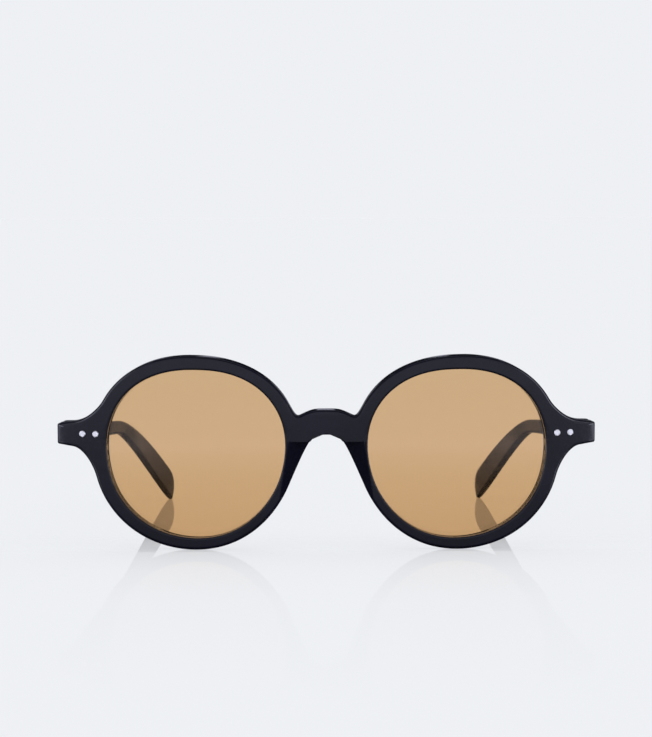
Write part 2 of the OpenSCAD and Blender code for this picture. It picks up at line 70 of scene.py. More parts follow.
def addNode(tree, kind, settings=None, inputs=None):
    # Settings are the node's own; inputs are values or another node's output
    node = tree.nodes.new(kind)
    for name, value in (settings or {}).items():
        setattr(node, name, value)
    for name, value in (inputs or {}).items():
        if isinstance(value, bpy.types.NodeSocket):
            tree.links.new(value, node.inputs[name])
        else:
            node.inputs[name].default_value = value
    return node


def newMaterial(name):
    material = bpy.data.materials.new(name)
    material.use_nodes = True
    material.node_tree.nodes.clear()
    return material, material.node_tree


def colourRamp(tree, factor, stops):
    ramp = addNode(tree, "ShaderNodeValToRGB", inputs={"Fac": factor})
    ramp.color_ramp.elements[0].position = stops[0][0]
    ramp.color_ramp.elements[0].color = stops[0][1]
    ramp.color_ramp.elements[1].position = stops[-1][0]
    ramp.color_ramp.elements[1].color = stops[-1][1]
    for position, colour in stops[1:-1]:
        ramp.color_ramp.elements.new(position).color = colour
    return ramp.outputs["Color"]


acetateLook = {
    "deep": "#090a15",
    "cloud": "#0c0d1b",
    "cloudSize": 9.0,       # acetate sheet is mixed in drifts of about a centimetre
    "polishWave": 3.2,      # the tumbling drum leaves low waves a few millimetres long
    "waveDepth": 0.006,
    "hazeSize": 0.35,       # polishing marks, drawn coarser than real so that they show
    "cloudSpan": (0.35, 0.7),   # the part of the noise that each is drawn from
    "hazeSpan": (0.3, 0.75),
    "smoothest": 0.05,
    "roughest": 0.12,
    "ior": 1.48,
}


def tumbledAcetate():
    # Cellulose acetate cut from sheet and tumbled for days: a deep black with a blue cast,
    # a wet gloss, and very soft waves that bend the reflections a little
    look = acetateLook
    material, tree = newMaterial("tumbledBlackAcetate")
    place = addNode(tree, "ShaderNodeTexCoord").outputs["Object"]
    cloud = addNode(tree, "ShaderNodeTexNoise", inputs={
        "Vector": place, "Scale": 1 / (look["cloudSize"] * metre), "Detail": 2.0})
    body = colourRamp(tree, cloud.outputs["Fac"], [
        (look["cloudSpan"][0], linearColour(look["deep"])),
        (look["cloudSpan"][1], linearColour(look["cloud"]))])
    haze = addNode(tree, "ShaderNodeTexNoise", inputs={
        "Vector": place, "Scale": 1 / (look["hazeSize"] * metre), "Detail": 3.0})
    gloss = addNode(tree, "ShaderNodeMapRange", inputs={
        "Value": haze.outputs["Fac"], "From Min": look["hazeSpan"][0], "From Max": look["hazeSpan"][1],
        "To Min": look["smoothest"], "To Max": look["roughest"]})
    wave = addNode(tree, "ShaderNodeTexNoise", inputs={
        "Vector": place, "Scale": 1 / (look["polishWave"] * metre), "Detail": 1.0})
    relief = addNode(tree, "ShaderNodeBump", inputs={
        "Height": wave.outputs["Fac"], "Strength": 1.0, "Distance": look["waveDepth"] * metre})
    skin = addNode(tree, "ShaderNodeBsdfPrincipled", inputs={
        "Base Color": body, "Roughness": gloss.outputs["Result"],
        "Normal": relief.outputs["Normal"], "IOR": look["ior"]})
    addNode(tree, "ShaderNodeOutputMaterial", inputs={"Surface": skin.outputs["BSDF"]})
    return material


lensLook = {
    "top": "#dbb686",
    "middle": "#ddb586",
    "bottom": "#d7ac7b",
    "topHeight": 50.0,
    "bottomHeight": 5.0,
    "ior": 1.498,
    "smear": 14.0,          # size of the faint wiping marks
    "smearSpan": (0.5, 0.8),
    "clearest": 0.02,       # never quite sharp, or the world would show its plain ground in spots
    "wiped": 0.05,
}


def tintedResin():
    # Allyl resin cast between glass moulds and dyed hot: optically clear, with an even amber dye;
    # the colour is drawn a little darker towards the bottom
    look = lensLook
    material, tree = newMaterial("dyedLensResin")
    place = addNode(tree, "ShaderNodeTexCoord").outputs["Object"]
    height = addNode(tree, "ShaderNodeSeparateXYZ", inputs={"Vector": place})
    share = addNode(tree, "ShaderNodeMapRange", inputs={
        "Value": height.outputs["Z"], "From Min": look["bottomHeight"] * metre,
        "From Max": look["topHeight"] * metre})
    dye = colourRamp(tree, share.outputs["Result"], [
        (0.0, linearColour(look["bottom"])), (0.5, linearColour(look["middle"])),
        (1.0, linearColour(look["top"]))])
    wipe = addNode(tree, "ShaderNodeTexNoise", inputs={
        "Vector": place, "Scale": 1 / (look["smear"] * metre), "Detail": 2.0})
    gloss = addNode(tree, "ShaderNodeMapRange", inputs={
        "Value": wipe.outputs["Fac"], "From Min": look["smearSpan"][0], "From Max": look["smearSpan"][1],
        "To Min": look["clearest"], "To Max": look["wiped"]})
    resin = addNode(tree, "ShaderNodeBsdfPrincipled", inputs={
        "Base Color": dye, "Roughness": gloss.outputs["Result"], "IOR": look["ior"],
        "Transmission Weight": 1.0})
    # Light passes the lens on its way to the floor, tinted by the dye
    passing = addNode(tree, "ShaderNodeBsdfTransparent", inputs={"Color": dye})
    rays = addNode(tree, "ShaderNodeLightPath")
    both = addNode(tree, "ShaderNodeMixShader", inputs={
        0: rays.outputs["Is Shadow Ray"], 1: resin.outputs["BSDF"], 2: passing.outputs["BSDF"]})
    addNode(tree, "ShaderNodeOutputMaterial", inputs={"Surface": both.outputs["Shader"]})
    return material


metalLooks = {
    # A rivet head is filed flush and buffed with the acetate round it
    "buffedNickelSilver": {"pale": "#f4f3f2", "dull": "#e8e7e6", "grain": 0.25,
                           "smoothest": 0.38, "roughest": 0.48, "relief": 0.001},
    # A hinge is stamped, milled and tumbled, which leaves a satin skin
    "tumbledNickelSilver": {"pale": "#d6d1c6", "dull": "#bfb9ac", "grain": 0.3,
                            "smoothest": 0.24, "roughest": 0.4, "relief": 0.003},
    # The screw is turned from stainless bar
    "turnedStainless": {"pale": "#cfd0d2", "dull": "#b4b6b9", "grain": 0.2,
                        "smoothest": 0.16, "roughest": 0.3, "relief": 0.002},
    # The core wire is drawn and left bare inside the temple
    "drawnCoreWire": {"pale": "#cdc8bd", "dull": "#b5b0a4", "grain": 0.4,
                      "smoothest": 0.25, "roughest": 0.38, "relief": 0.002},
}
grainSpan = (0.3, 0.7)
grainStrength = 0.6


def workedMetal(name):
    # The grain, in millimetres, is drawn coarser than real so that it shows
    look = metalLooks[name]
    material, tree = newMaterial(name)
    place = addNode(tree, "ShaderNodeTexCoord").outputs["Object"]
    grain = addNode(tree, "ShaderNodeTexNoise", inputs={
        "Vector": place, "Scale": 1 / (look["grain"] * metre), "Detail": 4.0})
    colour = colourRamp(tree, grain.outputs["Fac"], [
        (grainSpan[0], linearColour(look["dull"])), (grainSpan[1], linearColour(look["pale"]))])
    gloss = addNode(tree, "ShaderNodeMapRange", inputs={
        "Value": grain.outputs["Fac"], "From Min": grainSpan[0], "From Max": grainSpan[1],
        "To Min": look["smoothest"], "To Max": look["roughest"]})
    relief = addNode(tree, "ShaderNodeBump", inputs={
        "Height": grain.outputs["Fac"], "Strength": grainStrength, "Distance": look["relief"] * metre})
    skin = addNode(tree, "ShaderNodeBsdfPrincipled", inputs={
        "Base Color": colour, "Metallic": 1.0, "Roughness": gloss.outputs["Result"],
        "Normal": relief.outputs["Normal"]})
    addNode(tree, "ShaderNodeOutputMaterial", inputs={"Surface": skin.outputs["BSDF"]})
    return material


acetate = tumbledAcetate()
lensResin = tintedResin()
metals = {name: workedMetal(name) for name in metalLooks}
print("scene: materials are made")

# Mesh helpers


def sweepRings(bm, rings, closed):
    # One circle is extruded from ring to ring, and closed on itself or left open
    made = bmesh.ops.create_circle(bm, cap_ends=False, radius=1.0, segments=len(rings[0]))
    verts = made["verts"]
    first = list(verts)
    for vert, spot in zip(verts, rings[0]):
        vert.co = spot
    edges = [bm.edges.get((verts[i - 1], verts[i])) for i in range(len(verts))]
    for ring in rings[1:] + ([rings[0]] if closed else []):
        grown = bmesh.ops.extrude_edge_only(bm, edges=edges)["geom"]
        fresh = {g for g in grown if isinstance(g, bmesh.types.BMVert)}
        verts = [next(e.other_vert(v) for e in v.link_edges if e.other_vert(v) in fresh) for v in verts]
        edges = [bm.edges.get((verts[i - 1], verts[i])) for i in range(len(verts))]
        for vert, spot in zip(verts, ring):
            vert.co = spot
    return first, verts


def weld(bm, gap=1e-5):
    bmesh.ops.remove_doubles(bm, verts=bm.verts, dist=gap)
    bmesh.ops.recalc_face_normals(bm, faces=bm.faces)


def objectOf(bm, name):
    mesh = bpy.data.meshes.new(name)
    bm.to_mesh(mesh)
    bm.free()
    thing = bpy.data.objects.new(name, mesh)
    bpy.context.scene.collection.objects.link(thing)
    return thing


def cutAway(thing, tools):
    # Cuts the tools out of the thing, as a mill would, and throws them away. The manifold solver
    # keeps the front whole where the nose wedge crosses its long thin faces.
    for tool in tools:
        cut = thing.modifiers.new("cut", "BOOLEAN")
        cut.operation = "DIFFERENCE"
        cut.solver = "MANIFOLD"
        cut.object = tool
    shown = thing.evaluated_get(bpy.context.evaluated_depsgraph_get())
    mesh = bpy.data.meshes.new_from_object(shown)
    thing.modifiers.clear()
    thing.data = mesh
    for tool in tools:
        bpy.data.objects.remove(tool)


def placed(thing, transform):
    thing.data.transform(transform)
    if transform.determinant() < 0:
        thing.data.flip_normals()
    thing.data.update()


def dress(thing, material, body, nodes, smoothAngle=32):
    # Soft shading with crisp edges, then the piece is tied to its body, and the CAD nodes that it stands
    # for are hidden
    thing.data.materials.clear()
    thing.data.materials.append(material)
    for face in thing.data.polygons:
        face.use_smooth = True
    thing.data.set_sharp_from_angle(angle=math.radians(smoothAngle))
    even = thing.modifiers.new("evenShading", "WEIGHTED_NORMAL")
    even.keep_sharp = True
    even.weight = 80
    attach(thing, body)
    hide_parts(*nodes)


def mirroredCopy(thing, name):
    twin = bpy.data.objects.new(name, thing.data.copy())
    bpy.context.scene.collection.objects.link(twin)
    placed(twin, Matrix.Scale(-1, 4, Vector((1, 0, 0))))
    return twin


def block(low, high):
    # A block from its low corner to its high one
    bm = bmesh.new()
    size = Vector(high) - Vector(low)
    bmesh.ops.create_cube(bm, size=1.0)
    bmesh.ops.scale(bm, vec=size, verts=bm.verts)
    bmesh.ops.translate(bm, vec=(Vector(high) + Vector(low)) / 2, verts=bm.verts)
    return objectOf(bm, "block")


def drum(radius, low, high, sides=72):
    # A drum about the upright axis
    bm = bmesh.new()
    bmesh.ops.create_cone(bm, cap_ends=True, segments=sides,
                          radius1=radius, radius2=radius, depth=high - low)
    bmesh.ops.translate(bm, vec=(0, 0, (high + low) / 2), verts=bm.verts)
    return objectOf(bm, "drum")


# The front: rims, bridge and lugs from one bent sheet

front = {
    "thick": 4.0, "bentTo": 330.0, "lean": 4.5,
    "edgeRound": 0.5, "openingRound": 0.25, "roundSteps": 5, "flatSteps": 8,
    "lensWide": 47.45, "lensHigh": 45.2, "lensSpacing": 69.4,
    # Swells of the opening: how far out, then their middle and reach in degrees from the temple side
    "openingSwells": {
        "templeShoulder": (1.3, 40, 55), "noseShoulder": (1.25, 139.5, 53),
        "templeFullness": (0.25, 320, 51), "noseFlatness": (-0.6, 206.5, 52.5)},
    "rim": 3.4, "rimSwing": 0.6, "rimSwingAt": 24, "rimNoseSwell": (0.6, 161, 54),
    "bridgeTop": 12.1, "bridgeHigh": 6.65,
    "lugReach": 13.6, "lugHigh": 5.6, "lugMiddle": 4.85, "lugRun": 4.2, "lugCorner": 0.6, "lugFlare": 0.13,
    # Where the outer edge leaves the rim or joins it, in degrees round the lens
    "meets": {"lugTop": 30, "notch": 150.8, "arch": 199, "lugBottom": 346},
    # Which degrees of the opening the stretches between those places face
    "faces": {"lugEnd": (4, 11), "lugTop": 12, "notch": 161, "bridgeTop": 167, "bridgeUnder": 177,
              "lugBottom": 363},
    # The notch's run off the rim, the shoulder's share of its reach, and where their two curves join
    "notchRun": 4.28, "shoulderShare": 0.445, "joinShare": 0.286,
    "pull": {"lug": 0.56, "notch": 0.92, "bridge": 0.95},   # how strongly a curve is drawn to its corner
    "steps": {"lugCorner": 6, "lug": 18, "top": 80, "notch": 20, "bridge": 20, "middle": 6, "arch": 26,
              "bottom": 90},
    "bevelAcross": 9.95, "bevelUp": 3.6, "bevelSlope": 24, "bevelTilt": 10,
    "bevelReach": 20, "bevelRun": 7.3, "bevelPast": 1, "bevelAhead": 3,
    "stands": (0, -74.9745, 25.489),
}
lens = {
    "thick": 1.8, "curve": 176.0, "seat": 1.05, "bite": 0.6, "gap": 0.05, "edge": 0.15,
    "rings": 12, "segments": 128, "smallest": 0.02,
}
hinge = {
    "axis": (66.652, 11.8058, 5.0), "lugAngle": 12.1679, "plateEnd": -7.32, "half": 2.6,
    "behind": 0.9, "plate": 0.9, "play": 0.03, "notch": 1.5, "overcut": 1,
}


def swell(angle, middle, reach):
    # One at the middle, falling smoothly to nothing at its reach to either side
    off = abs(((angle - middle + 540) % 360) - 180) / reach
    return (1 + cosine(180 * off)) / 2 if off < 1 else 0.0


def openingRadius(angle):
    oval = 1 / math.hypot(cosine(angle) / (front["lensWide"] / 2), sine(angle) / (front["lensHigh"] / 2))
    swells = front["openingSwells"].values()
    return sum((extra * swell(angle, middle, reach) for extra, middle, reach in swells), oval)


def rimRadius(angle):
    extra, middle, reach = front["rimNoseSwell"]
    return (openingRadius(angle) + front["rim"] + front["rimSwing"] * cosine(angle - front["rimSwingAt"])
            + extra * swell(angle, middle, reach))


def fromLens(angle, radius):
    return Vector((front["lensSpacing"] / 2 + radius * cosine(angle), radius * sine(angle)))


def rimPoint(angle):
    return fromLens(angle, rimRadius(angle))


def rimHeading(angle):
    return (rimPoint(angle + 1) - rimPoint(angle - 1)).normalized()


def softCorner(a, c, b, pull, steps):
    # A curve from a to b, drawn towards the corner c
    near, far = a.lerp(c, pull), b.lerp(c, pull)
    spots = []
    for i in range(steps + 1):
        t = i / steps
        u = 1 - t
        spots.append(u ** 3 * a + 3 * u * u * t * near + 3 * u * t * t * far + t ** 3 * b)
    return spots


lugEnd = front["lensSpacing"] / 2 + front["lensWide"] / 2 + front["lugReach"]
lugRoot = lugEnd - front["lugRun"]
bridgeBottom = front["bridgeTop"] - front["bridgeHigh"]


def lugEdge(across, sign):
    return front["lugMiddle"] + sign * (front["lugHigh"] / 2 + front["lugFlare"] * (lugEnd - across))


def rimMeets(angle, height):
    # Where the rim's heading at an angle comes to a height
    heading = rimHeading(angle)
    return rimPoint(angle) + heading * (height - rimPoint(angle).y) / heading.y


def lugCornerPoints(sign, steps):
    r = front["lugCorner"]
    start = 0 if sign > 0 else -90
    return [Vector((lugEnd - r + r * cosine(start + 90 * i / steps),
                    lugEdge(lugEnd, sign) - sign * r + r * sine(start + 90 * i / steps)))
            for i in range(steps + 1)]


def outline():
    # Stations round the left half: a point on the outer edge, the angle of the opening that it
    # faces, and whether it lies on the middle line
    meets, faces, pull, steps = front["meets"], front["faces"], front["pull"], front["steps"]
    stations = []

    def add(points, startAngle, endAngle, skipFirst=False, skipLast=False):
        last = len(points) - 1
        for i, point in enumerate(points):
            if (i == 0 and skipFirst) or (i == last and skipLast):
                continue
            stations.append((point, mix(startAngle, endAngle, i / last), False))

    def addRim(startAngle, endAngle, count):
        for i in range(1, count):
            angle = mix(startAngle, endAngle, i / count)
            stations.append((rimPoint(angle), angle, False))

    lugTop, lugBottom = (Vector((lugRoot, lugEdge(lugRoot, sign))) for sign in (1, -1))
    topCorner = rimMeets(meets["lugTop"], lugEdge(lugRoot - front["lugRun"], 1))
    bottomCorner = rimMeets(meets["lugBottom"], lugEdge(lugRoot - front["lugRun"], -1))
    notchStart = rimPoint(meets["notch"])
    notchTurn = notchStart + front["notchRun"] * rimHeading(meets["notch"])
    shoulder = Vector((notchTurn.x * front["shoulderShare"], front["bridgeTop"]))
    bridgeStart = notchTurn.lerp(shoulder, front["joinShare"])
    topMiddle, underMiddle = Vector((0, front["bridgeTop"])), Vector((0, bridgeBottom))
    archEnd = rimPoint(meets["arch"])
    archTurn = rimMeets(meets["arch"], bridgeBottom)
    add(lugCornerPoints(-1, steps["lugCorner"]) + lugCornerPoints(1, steps["lugCorner"]), *faces["lugEnd"])
    add(softCorner(lugTop, topCorner, rimPoint(meets["lugTop"]), pull["lug"], steps["lug"]),
        faces["lugTop"], meets["lugTop"])
    addRim(meets["lugTop"], meets["notch"], steps["top"])
    add(softCorner(notchStart, notchTurn, bridgeStart, pull["notch"], steps["notch"]),
        meets["notch"], faces["notch"])
    add(softCorner(bridgeStart, shoulder, topMiddle, pull["bridge"], steps["bridge"]),
        faces["notch"], faces["bridgeTop"], True, True)
    for i in range(steps["middle"] + 1):
        share = i / steps["middle"]
        spot = Vector((0, mix(front["bridgeTop"], bridgeBottom, share)))
        stations.append((spot, mix(faces["bridgeTop"], faces["bridgeUnder"], share), True))
    add(softCorner(underMiddle, archTurn, archEnd, pull["bridge"], steps["arch"]),
        faces["bridgeUnder"], meets["arch"], True)
    addRim(meets["arch"], meets["lugBottom"], steps["bottom"])
    add(softCorner(rimPoint(meets["lugBottom"]), bottomCorner, lugBottom, pull["lug"], steps["lug"]),
        meets["lugBottom"], faces["lugBottom"])
    return stations


def bent(point, depth):
    # From the flat sheet to the bent front, with the depth behind its face
    across, up = point
    turn = math.asin(across / front["bentTo"])
    sag = front["bentTo"] - math.sqrt(front["bentTo"] ** 2 - across ** 2)
    return Vector((across - depth * math.sin(turn), sag + depth * math.cos(turn), up))


def lensDepth(angle, radius):
    # How deep the lens lies in the sheet: its own curve, less the sheet's
    return lens["seat"] + radius * radius / 2 * (1 / lens["curve"] - cosine(angle) ** 2 / front["bentTo"])


def quarterTurn(steps):
    # Sine and cosine at even steps through a right angle
    return [(sine(90 * k / steps), cosine(90 * k / steps)) for k in range(steps + 1)]


def rimSection(stations, i):
    # Round one section, from the front edge of the opening through its groove to the outer edge
    point, angle, middle = stations[i]
    before, after = stations[i - 1], stations[(i + 1) % len(stations)]
    if not middle:
        along = (after[0] - before[0]).normalized()
        out = Vector((along.y, -along.x))
    elif not before[2]:
        out = Vector((0, 1))
    elif not after[2]:
        out = Vector((0, -1))
    else:
        out = Vector((0, 0))
    radius = openingRadius(angle)
    inner, outer, thick = front["openingRound"], front["edgeRound"], front["thick"]
    turns = quarterTurn(front["roundSteps"])
    seat = lensDepth(angle, radius)
    mouth = lens["thick"] / 2 + lens["gap"]
    floor = lens["edge"] + lens["gap"]
    deep = lens["bite"] + lens["gap"]
    spots = [(fromLens(angle, radius + inner * (1 - s)), inner * (1 - c)) for s, c in turns]
    spots += [(fromLens(angle, radius), seat - mouth), (fromLens(angle, radius + deep), seat - floor),
              (fromLens(angle, radius + deep), seat + floor), (fromLens(angle, radius), seat + mouth)]
    spots += [(fromLens(angle, radius + inner * (1 - c)), thick - inner * (1 - s)) for s, c in turns]
    innerEdge, outerEdge = fromLens(angle, radius + inner), point - outer * out
    shares = [k / front["flatSteps"] for k in range(1, front["flatSteps"])]
    spots += [(innerEdge.lerp(outerEdge, share), thick) for share in shares]
    spots += [(point - outer * (1 - s) * out, thick - outer * (1 - c)) for s, c in turns]
    spots += [(point - outer * (1 - c) * out, outer * (1 - s)) for s, c in turns]
    spots += [(outerEdge.lerp(innerEdge, share), 0.0) for share in shares]
    return [bent(spot, depth) for spot, depth in spots]


standUp = Matrix.Scale(metre, 4) @ Matrix.Translation(front["stands"]) @ Matrix.Rotation(
    math.radians(front["lean"]), 4, "X")
atHinge = Matrix.Translation(hinge["axis"]) @ Matrix.Rotation(math.radians(hinge["lugAngle"]), 4, "Z")


def noseWedge():
    # What is planed off the face beside the nose; it stops short of the middle of the bridge
    slope = math.tan(math.radians(front["bevelSlope"]))
    reach, past, ahead = front["bevelRun"], front["bevelPast"], front["bevelAhead"]
    bm = bmesh.new()
    corners = [bm.verts.new((x, y, -front["bevelReach"])) for x, y in (
        (past, -past * slope), (past, -ahead), (-reach, -ahead), (-reach, reach * slope))]
    base = bm.faces.new(corners)
    raised = bmesh.ops.extrude_face_region(bm, geom=[base])["geom"]
    top = [g for g in raised if isinstance(g, bmesh.types.BMVert)]
    bmesh.ops.translate(bm, vec=(0, 0, front["bevelReach"]), verts=top)
    for vert in top:
        # Its top stays level when the wedge is tilted
        vert.co.z -= vert.co.x * math.tan(math.radians(front["bevelTilt"]))
    bmesh.ops.recalc_face_normals(bm, faces=bm.faces)
    wedge = objectOf(bm, "noseWedge")
    placed(wedge, Matrix.Translation(bent((front["bevelAcross"], front["bevelUp"]), 0)) @ Matrix.Rotation(
        math.radians(-front["bevelTilt"]), 4, "Y"))
    return wedge


def frontTools():
    play = hinge["play"]
    backOfLug = -hinge["behind"]
    plate = block((hinge["plateEnd"] - play, backOfLug - hinge["plate"] - play, -hinge["half"] - play),
                  (0, backOfLug + hinge["overcut"], hinge["half"] + play))
    notch = drum(hinge["notch"], -front["lugHigh"], front["lugHigh"])
    for tool in (plate, notch):
        placed(tool, atHinge)
    tools = []
    for tool in (notch, plate, noseWedge()):
        tools += [tool, mirroredCopy(tool, tool.name + "Right")]
    return tools


def makeFront():
    stations = outline()
    sections = [rimSection(stations, i) for i in range(len(stations))]
    bm = bmesh.new()
    rings = [[section[k] for section in sections] for k in range(len(sections[0]))]
    sweepRings(bm, rings, closed=True)
    weld(bm)
    # The half is open where it meets its mirror image
    inMiddle = [f for f in bm.faces if all(abs(v.co.x) < touching for v in f.verts)]
    bmesh.ops.delete(bm, geom=inMiddle, context="FACES")
    bmesh.ops.mirror(bm, geom=bm.verts[:] + bm.edges[:] + bm.faces[:], axis="X", merge_dist=touching)
    weld(bm, touching)
    thing = objectOf(bm, "acetateFront")
    cutAway(thing, frontTools())
    placed(thing, standUp)
    return thing


acetateFront = makeFront()
dress(acetateFront, acetate, "front", ["front_frame"])
print("scene: front", len(acetateFront.data.polygons), "faces")

# The lenses


def makeLens():
    angles = [360 * i / lens["segments"] for i in range(lens["segments"])]
    half = lens["thick"] / 2
    shares = [mix(lens["smallest"], 1.0, i / (lens["rings"] - 1)) for i in range(lens["rings"])]
    rows = [(share, 0, -half) for share in shares]
    rows += [(1, lens["bite"], -lens["edge"]), (1, lens["bite"], lens["edge"])]
    rows += [(share, 0, half) for share in reversed(shares)]
    rings = []
    for share, extra, off in rows:
        ring = []
        for angle in angles:
            radius = openingRadius(angle) * share + extra
            ring.append(bent(fromLens(angle, radius), lensDepth(angle, radius) + off))
        rings.append(ring)
    bm = bmesh.new()
    first, last = sweepRings(bm, rings, closed=False)
    for ring in (first, last):
        bmesh.ops.contextual_create(bm, geom=ring)
    bmesh.ops.recalc_face_normals(bm, faces=bm.faces)
    thing = objectOf(bm, "leftTintedLens")
    placed(thing, standUp)
    return thing


leftTintedLens = makeLens()
rightTintedLens = mirroredCopy(leftTintedLens, "rightTintedLens")
dress(leftTintedLens, lensResin, "front", ["left_lens"])
dress(rightTintedLens, lensResin, "front", ["right_lens"])
print("scene: lenses")

# The temples

temple = {
    "length": 149.0, "run": 96.0, "bendRadius": 55.0, "bend": 44.0, "tilt": 29.5, "toeIn": 4.2,
    "slope": 8.02825, "thick": 3.8, "tipThick": 2.2, "high": 5.7, "neckHigh": 3.9, "tipHigh": 7.9,
    "tipRound": 5.5, "tipDrop": 0.9, "tipThin": 0.5, "tipCloses": 85,
    "rounding": 0.36, "cornerSteps": 6, "inside": 0.6, "sawReach": 12, "sawBelow": 4,
    "early": 3.0, "buttGap": 0.1, "plate": 0.9, "plateEnd": 9.17477, "plateUp": -0.371987, "plateHigh": 3.8,
    "straightSteps": 30, "bendSteps": 44, "tipSteps": 12,
}
bendAxis = Vector((-cosine(temple["tilt"]), 0, sine(temple["tilt"])))
bendLength = math.radians(temple["bend"]) * temple["bendRadius"]
tipStart = temple["length"] - temple["tipRound"]
hingeAxis = Vector(hinge["axis"])


def bendTurn(along):
    angle = min(max((along - temple["run"]) / bendLength, 0), 1) * temple["bend"]
    return Matrix.Rotation(math.radians(angle), 3, bendAxis), angle


def templeMiddle(along):
    turn, angle = bendTurn(along)
    back = Vector((0, 1, 0))
    side = bendAxis.cross(back)
    spot = Vector((temple["inside"] + temple["thick"] / 2, min(along, temple["run"]), 0))
    spot += temple["bendRadius"] * (sine(angle) * back + (1 - cosine(angle)) * side)
    return spot + max(along - temple["run"] - bendLength, 0) * (turn @ back)


def templeHeight(along):
    if along < temple["run"]:
        return mix(temple["high"], temple["neckHigh"], smoothStep(along / temple["run"]))
    return mix(temple["neckHigh"], temple["tipHigh"],
               smoothStep((along - temple["run"]) / (tipStart - temple["run"])))


def templeThickness(along):
    thinFrom = temple["run"] / 2
    return mix(temple["thick"], temple["tipThick"], smoothStep((along - thinFrom) / (tipStart - thinFrom)))


def templeSection(along, closing):
    wide = templeThickness(along) * mix(temple["tipThin"], 1, closing)
    high = templeHeight(along) * closing
    drop = templeHeight(along) * (1 - closing) / 2 * temple["tipDrop"]
    r = temple["rounding"] * min(wide, high)
    turn, angle = bendTurn(along)
    middle = templeMiddle(along)
    spots = []
    for signX, signZ, start in ((1, 1, 0), (-1, 1, 90), (-1, -1, 180), (1, -1, 270)):
        for k in range(temple["cornerSteps"] + 1):
            t = start + 90 * k / temple["cornerSteps"]
            across = signX * (wide / 2 - r) + r * cosine(t)
            up = signZ * (high / 2 - r) + r * sine(t) - drop
            spots.append(middle + turn @ Vector((across, 0, up)))
    return spots


def makeTemple():
    stops = [(temple["run"] * i / temple["straightSteps"], 1.0) for i in range(temple["straightSteps"] + 1)]
    stops += [(mix(temple["run"], tipStart, i / temple["bendSteps"]), 1.0)
              for i in range(1, temple["bendSteps"] + 1)]
    for i in range(1, temple["tipSteps"] + 1):
        closed = temple["tipCloses"] * i / temple["tipSteps"]
        stops.append((tipStart + temple["tipRound"] * sine(closed), cosine(closed)))
    rings = [templeSection(along, closing) for along, closing in stops]
    rings[0] = [spot - Vector((0, temple["early"], 0)) for spot in rings[0]]
    alongTemple = Matrix.Translation(hingeAxis) @ Matrix.Rotation(
        math.radians(temple["toeIn"]), 4, "Z") @ Matrix.Rotation(math.radians(-temple["slope"]), 4, "X")
    bm = bmesh.new()
    first, last = sweepRings(bm, rings, closed=False)
    for ring in (first, last):
        bmesh.ops.contextual_create(bm, geom=ring)
    bmesh.ops.recalc_face_normals(bm, faces=bm.faces)
    thing = objectOf(bm, "leftCoredTemple")
    placed(thing, alongTemple)
    # The lug's slant is sawn off, and the hinge is let in
    play = hinge["play"]
    reach = temple["sawReach"]
    low = -hinge["behind"] - front["lugHigh"] - temple["sawBelow"]
    saw = block((-front["lugHigh"], low, -reach), (reach, temple["buttGap"] - hinge["behind"], reach))
    placed(saw, atHinge)
    notch = drum(hinge["notch"], -front["lugHigh"], front["lugHigh"])
    placed(notch, Matrix.Translation(hingeAxis))
    plate = block(
        (temple["inside"] - hinge["overcut"], 0, temple["plateUp"] - temple["plateHigh"] / 2 - play),
        (temple["inside"] + temple["plate"] + play, temple["plateEnd"] + play,
         temple["plateUp"] + temple["plateHigh"] / 2 + play))
    placed(plate, Matrix.Translation(hingeAxis) @ Matrix.Rotation(math.radians(temple["toeIn"]), 4, "Z"))
    cutAway(thing, [saw, notch, plate])
    placed(thing, standUp)
    return thing


leftCoredTemple = makeTemple()
rightCoredTemple = mirroredCopy(leftCoredTemple, "rightCoredTemple")
dress(leftCoredTemple, acetate, "left_arm", ["left_temple"])
dress(rightCoredTemple, acetate, "right_arm", ["right_temple"])
print("scene: temples", len(leftCoredTemple.data.polygons), "faces each")

# Pieces whose shape the CAD already has: a merged copy gets broken edges and its finish

copying = {"merged": 2e-7, "flatWithin": 1.0, "brokenOver": 40}     # metres, then degrees
fittings = [
    # CAD node and name after the side, finish, on the arm or not, slot, width of its broken edges, steps
    ("nose_pad", "nosePad", acetate, False, "black_acetate", 0, 1),
    ("front_hinge", "frontHinge", metals["tumbledNickelSilver"], False, "hinge_metal", 0.06, 2),
    ("temple_hinge", "templeHinge", metals["tumbledNickelSilver"], True, "hinge_metal", 0.06, 2),
    ("hinge_screw", "hingeScrew", metals["turnedStainless"], False, "screw_steel", 0.04, 2),
    ("inner_front_rivet", "innerFrontRivet", metals["buffedNickelSilver"], False, "rivet_metal", 0.05, 3),
    ("outer_front_rivet", "outerFrontRivet", metals["buffedNickelSilver"], False, "rivet_metal", 0.05, 3),
    ("fore_temple_rivet", "foreTempleRivet", metals["buffedNickelSilver"], True, "rivet_metal", 0.05, 3),
    ("rear_temple_rivet", "rearTempleRivet", metals["buffedNickelSilver"], True, "rivet_metal", 0.05, 3),
]


def finishedCopy(node, name, material, body, edge, steps):
    bm = bmesh.new()
    bm.from_mesh(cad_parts[node].data)
    bmesh.ops.remove_doubles(bm, verts=bm.verts, dist=copying["merged"])
    flat = math.radians(copying["flatWithin"])
    bmesh.ops.dissolve_limit(bm, angle_limit=flat, verts=bm.verts, edges=bm.edges)
    thing = objectOf(bm, name)
    if edge:
        broken = thing.modifiers.new("brokenEdges", "BEVEL")
        broken.width = edge * metre
        broken.segments = steps
        broken.limit_method = "ANGLE"
        broken.angle_limit = math.radians(copying["brokenOver"])
    dress(thing, material, body, [node])
    return thing


for sideName in ("right", "left"):
    for node, name, finish, onArm, slot, edge, steps in fittings:
        finishedCopy(sideName + "_" + node, name + sideName.capitalize(), finish,
                     sideName + "_arm" if onArm else "front", edge, steps)
    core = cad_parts[sideName + "_core_wire"]
    core.data.materials.clear()
    core.data.materials.append(metals["drawnCoreWire"])
print("scene: hinges, rivets, screws and pads")

